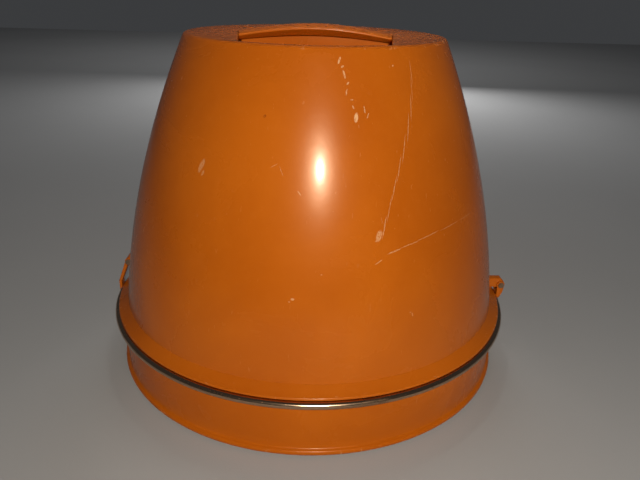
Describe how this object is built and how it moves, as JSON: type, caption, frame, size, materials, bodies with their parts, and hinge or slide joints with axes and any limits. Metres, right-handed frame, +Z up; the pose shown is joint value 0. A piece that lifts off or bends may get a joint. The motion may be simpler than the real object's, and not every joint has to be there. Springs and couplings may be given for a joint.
{
  "type": "food dehydrator",
  "caption": "Round tapered drying hood with a recessed carry grip, hinged to a shallow fan and heater base with a bright trim ring, over stacking trays.",
  "frame": {"origin": "on the floor under the drum's axis, at the level of the rubber feet", "axes": "+Z up along the drum's axis, -Y towards the front, +X towards the hinge, -X towards the latch"},
  "size_m": [0.3135, 0.305, 0.2474],
  "materials": {
    "case_orange": "glossy injection-moulded burnt-orange plastic, scratched and chipped",
    "bright_trim": "bright rolled band with a warm bronze cast, lightly tarnished",
    "steel": "plain sheet steel, satin",
    "zinc": "zinc-plated steel",
    "black_plastic": "matt black plastic",
    "tray_plastic": "cream food-grade plastic, satin",
    "rubber_foot": "soft black rubber",
    "copper_winding": "varnished copper winding",
    "mica_board": "speckled mica board",
    "bearing_bronze": "sintered bronze",
    "wire_sleeve": "heat-proof silicone sleeve"
  },
  "bodies": {
    "base": {"base_shell": "case_orange", "bearing_lower": "bearing_bronze", "bearing_upper": "bearing_bronze", "bottom_plate": "black_plastic", "deck_plate": "case_orange", "deck_screw_1": "zinc", "deck_screw_2": "zinc", "deck_screw_3": "zinc", "fan_shroud": "steel", "foot_1": "rubber_foot", "foot_2": "rubber_foot", "foot_3": "rubber_foot", "foot_4": "rubber_foot", "heater_element": "steel", "heater_frame": "mica_board", "hinge_bracket": "case_orange", "hinge_pin": "zinc", "inlet_pin_1": "zinc", "inlet_pin_2": "zinc", "motor_bracket_lower": "steel", "motor_bracket_upper": "steel", "motor_coil": "copper_winding", "motor_screw_1": "zinc", "motor_screw_2": "zinc", "motor_stator": "steel", "outlet_guard": "steel", "plate_screw_1": "zinc", "plate_screw_2": "zinc", "plate_screw_3": "zinc", "power_inlet": "black_plastic", "thermal_fuse": "zinc", "thermostat_body": "black_plastic", "trim_ring": "bright_trim", "wire_heater": "wire_sleeve", "wire_live": "wire_sleeve", "wire_neutral": "wire_sleeve"},
    "fan": {"fan_impeller": "black_plastic", "motor_rotor": "steel", "fan_shaft": "steel"},
    "dial": {"thermostat_knob": "black_plastic", "thermostat_spindle": "steel"},
    "hood": {"hood_shell": "case_orange", "grip_well": "case_orange", "carry_handle": "case_orange", "handle_screw_1": "zinc", "handle_screw_2": "zinc", "latch_pin": "zinc"},
    "latch": {"latch_lever": "case_orange"},
    "tray_1_body": {"tray_1": "tray_plastic", "tray_screen_1": "tray_plastic"},
    "tray_2_body": {"tray_2": "tray_plastic", "tray_screen_2": "tray_plastic"},
    "tray_3_body": {"tray_3": "tray_plastic", "tray_screen_3": "tray_plastic"},
    "tray_4_body": {"tray_4": "tray_plastic", "tray_screen_4": "tray_plastic"}
  },
  "joints": [
    {"name": "fan_spin", "type": "hinge", "parent": "base", "child": "fan", "pos_m": [0, 0, 0.0215], "axis": [0, 0, 1], "continuous": true},
    {"name": "dial_turn", "type": "hinge", "parent": "base", "child": "dial", "pos_m": [0.08363, 0.11943, 0.022], "axis": [-0.5736, -0.8192, 0], "range_deg": [0, 270]},
    {"name": "hood_hinge", "type": "hinge", "parent": "base", "child": "hood", "pos_m": [0.1556, 0, 0.0506], "axis": [0, 1, 0], "range_deg": [0, 100]},
    {"name": "latch_swing", "type": "hinge", "parent": "hood", "child": "latch", "pos_m": [-0.145, 0, 0.065], "axis": [0, 1, 0], "range_deg": [0, 80]},
    {"name": "tray_1_lift", "type": "slide", "parent": "base", "child": "tray_1_body", "axis": [0, 0, 1], "range_m": [0, 0.01]},
    {"name": "tray_2_lift", "type": "slide", "parent": "tray_1_body", "child": "tray_2_body", "axis": [0, 0, 1], "range_m": [0, 0.01]},
    {"name": "tray_3_lift", "type": "slide", "parent": "tray_2_body", "child": "tray_3_body", "axis": [0, 0, 1], "range_m": [0, 0.01]},
    {"name": "tray_4_lift", "type": "slide", "parent": "tray_3_body", "child": "tray_4_body", "axis": [0, 0, 1], "range_m": [0, 0.01]}
  ]
}
